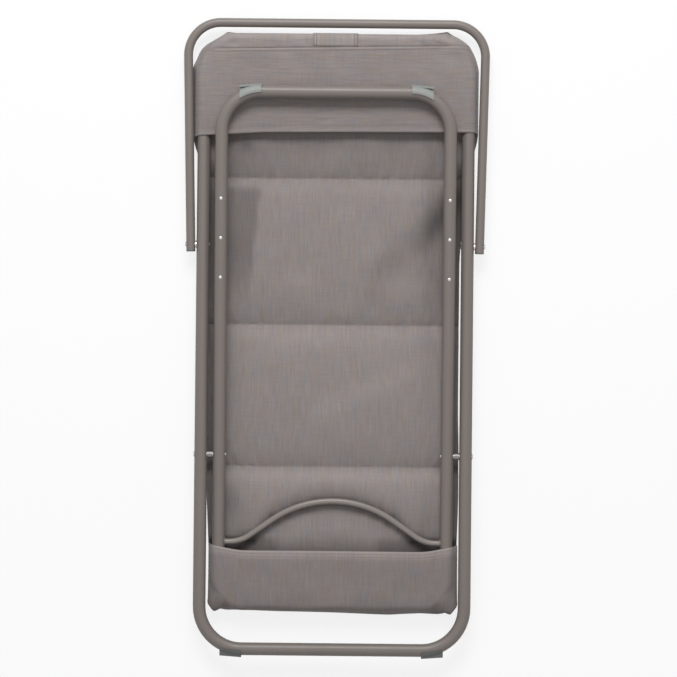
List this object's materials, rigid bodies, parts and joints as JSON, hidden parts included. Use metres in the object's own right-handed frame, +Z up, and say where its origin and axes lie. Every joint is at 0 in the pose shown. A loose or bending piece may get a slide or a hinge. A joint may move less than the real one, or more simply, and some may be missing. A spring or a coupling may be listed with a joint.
{
  "type": "folding deck chair",
  "caption": "Folding deck chair with a tubular steel frame, a padded fabric sling, a head hood and a three-position prop frame, shown folded flat.",
  "frame": {"origin": "on the floor below the middle of the folded chair, which lies on its user side", "axes": "+X across the chair to the right as seen from its back, +Y towards the head end, +Z up, out of the back of the chair"},
  "size_m": [0.6134, 1.2788, 0.0758],
  "materials": {
    "frame_paint": "taupe powder coat, satin",
    "rivet_steel": "bright zinc-plated steel",
    "dark_plastic": "dark grey moulded plastic",
    "pale_plastic": "pale grey-green moulded plastic",
    "hood_fabric": "taupe woven polyester with a fine cross weave",
    "sling_fabric": "padded taupe woven polyester with a fine lengthwise weave"
  },
  "bodies": {
    "back": {"back_frame": "frame_paint", "fold_rivet_left": "rivet_steel", "fold_rivet_right": "rivet_steel", "fold_spacer_left": "rivet_steel", "fold_spacer_right": "rivet_steel", "prop_rivet_left": "rivet_steel", "prop_rivet_right": "rivet_steel", "prop_washer_left": "rivet_steel", "prop_washer_right": "rivet_steel", "base_foot_left": "dark_plastic", "base_foot_right": "dark_plastic", "hood": "hood_fabric", "head_band": "hood_fabric", "sling_head_panel": "sling_fabric", "sling_upper_panel": "sling_fabric", "sling_lower_panel": "sling_fabric", "sling_bend": "sling_fabric"},
    "seat": {"seat_frame": "frame_paint", "seat_brace": "frame_paint", "stop_stud_left_1": "rivet_steel", "stop_stud_left_2": "rivet_steel", "stop_stud_left_3": "rivet_steel", "stop_stud_right_1": "rivet_steel", "stop_stud_right_2": "rivet_steel", "stop_stud_right_3": "rivet_steel", "rear_foot_left": "pale_plastic", "rear_foot_right": "pale_plastic", "front_pocket": "sling_fabric", "sling_seat_panel": "sling_fabric"},
    "prop": {"prop_frame": "frame_paint", "prop_end_plug_left": "dark_plastic", "prop_end_plug_right": "dark_plastic"}
  },
  "joints": [
    {"name": "fold", "type": "hinge", "parent": "back", "child": "seat", "pos_m": [0, -0.23458, 0.03779], "axis": [1, 0, 0], "range_deg": [0, 72], "deforming": ["sling_bend"]},
    {"name": "prop_swing", "type": "hinge", "parent": "back", "child": "prop", "pos_m": [0, 0.18539, 0.03294], "axis": [1, 0, 0], "range_deg": [0, 133.8]}
  ]
}
